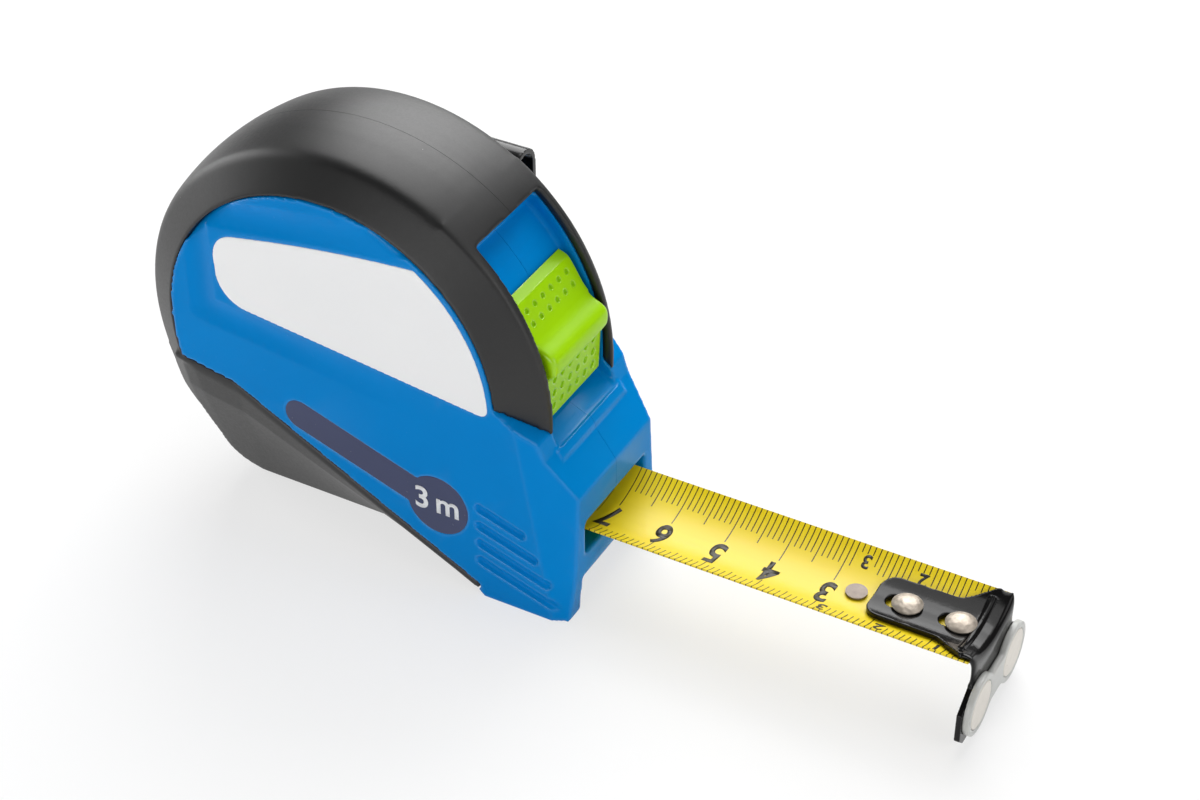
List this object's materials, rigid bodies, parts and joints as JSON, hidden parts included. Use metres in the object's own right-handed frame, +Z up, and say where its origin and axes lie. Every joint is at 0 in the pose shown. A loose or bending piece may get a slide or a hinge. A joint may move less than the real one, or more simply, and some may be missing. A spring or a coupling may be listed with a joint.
{
  "type": "tape measure",
  "caption": "Pocket tape measure: round split case with soft grip, sliding thumb lock, sprung reel of curved steel tape, floating magnetic end hook and belt clip.",
  "frame": {"origin": "on the base plane, below the reel axis, in the plane where the case halves meet", "axes": "+X out of the mouth along the tape, +Y to the belt clip's side, +Z up"},
  "size_m": [0.1567, 0.041, 0.078],
  "materials": {
    "blue_plastic": "satin moulded",
    "soft_grip": "fine matt texture",
    "lime_plastic": "satin moulded",
    "yellow_tape": "gloss lacquer",
    "black_steel": "gloss black",
    "nickel": "nickel plated",
    "spring_steel": "bright",
    "pale_plastic": "translucent grey white",
    "magnet": "nickel plated",
    "white_plate": "gloss",
    "dark_plate": "gloss",
    "reel_plastic": "plain moulded"
  },
  "bodies": {
    "case": {"near_shell": "blue_plastic", "far_shell": "blue_plastic", "near_grip": "soft_grip", "far_grip": "soft_grip", "case_screws": "nickel", "side_plate": "white_plate", "size_plate": "dark_plate", "centre_post": "reel_plastic", "belt_clip": "black_steel", "clip_screw": "nickel"},
    "lock": {"lock_button": "lime_plastic", "brake_arm": "lime_plastic", "brake_pad": "soft_grip"},
    "reel": {"reel": "reel_plastic", "reel_cover": "reel_plastic", "return_spring": "spring_steel", "tape_coil": "yellow_tape"},
    "blade": {"tape_blade": "yellow_tape", "blade_end_strip": "nickel", "hook_rivets": "nickel", "stop_rivet": "nickel"},
    "hook": {"end_hook": "black_steel", "magnet_carrier": "pale_plastic", "hook_magnets": "magnet"}
  },
  "joints": [
    {"name": "lock_slide", "type": "hinge", "parent": "case", "child": "lock", "pos_m": [0, 0, 0.0384], "axis": [0, -1, 0], "range_deg": [0, 12]},
    {"name": "reel_spin", "type": "hinge", "parent": "case", "child": "reel", "pos_m": [0, 0, 0.0384], "axis": [0, -1, 0], "range_deg": [-164, 7160], "deforming": ["return_spring"]},
    {"name": "tape_slide", "type": "slide", "parent": "case", "child": "blade", "axis": [1, 0, 0], "range_m": [-0.0672, 2.93], "deforming": ["tape_blade"]},
    {"name": "hook_float", "type": "slide", "parent": "blade", "child": "hook", "axis": [1, 0, 0], "range_m": [0, 0.0022]}
  ],
  "couplings": [
    {"joint": "tape_slide", "follows": "reel_spin", "m_per_rad": 0.023375}
  ]
}
